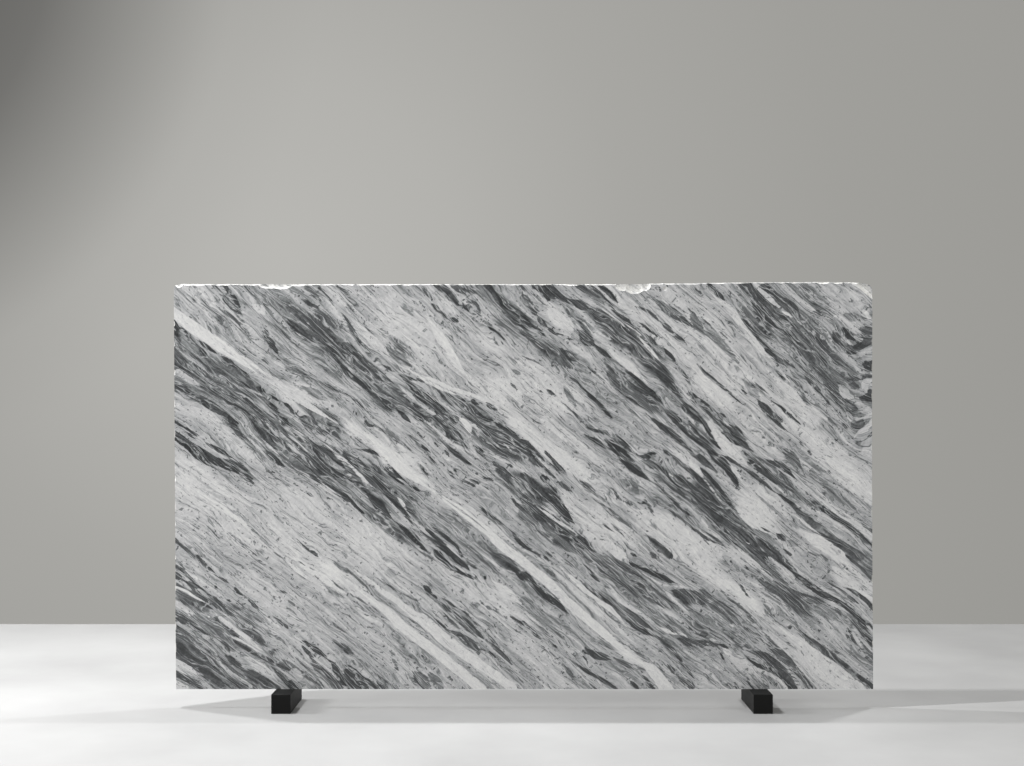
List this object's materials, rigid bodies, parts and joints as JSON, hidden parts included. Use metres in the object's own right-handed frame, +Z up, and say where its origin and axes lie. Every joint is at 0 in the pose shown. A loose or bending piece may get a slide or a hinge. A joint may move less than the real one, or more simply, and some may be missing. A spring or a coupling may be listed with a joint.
{
  "type": "marble slab on bearers",
  "caption": "Upright polished slab of grey and white veined marble with a broken top edge, resting across square black bearer blocks.",
  "frame": {"origin": "on the floor, under the middle of the whole object's box", "axes": "+X along the slab, to the right when facing the polished side; +Y from the polished side to the sawn back; +Z up"},
  "size_m": [2.945, 0.3, 1.795],
  "materials": {
    "marble": "polished front, sawn back and edges, broken top arris",
    "bearer_black": "matt black paint on timber"
  },
  "bodies": {
    "root": {"slab": "marble", "bearer_left": "bearer_black", "bearer_right": "bearer_black"}
  },
  "joints": []
}
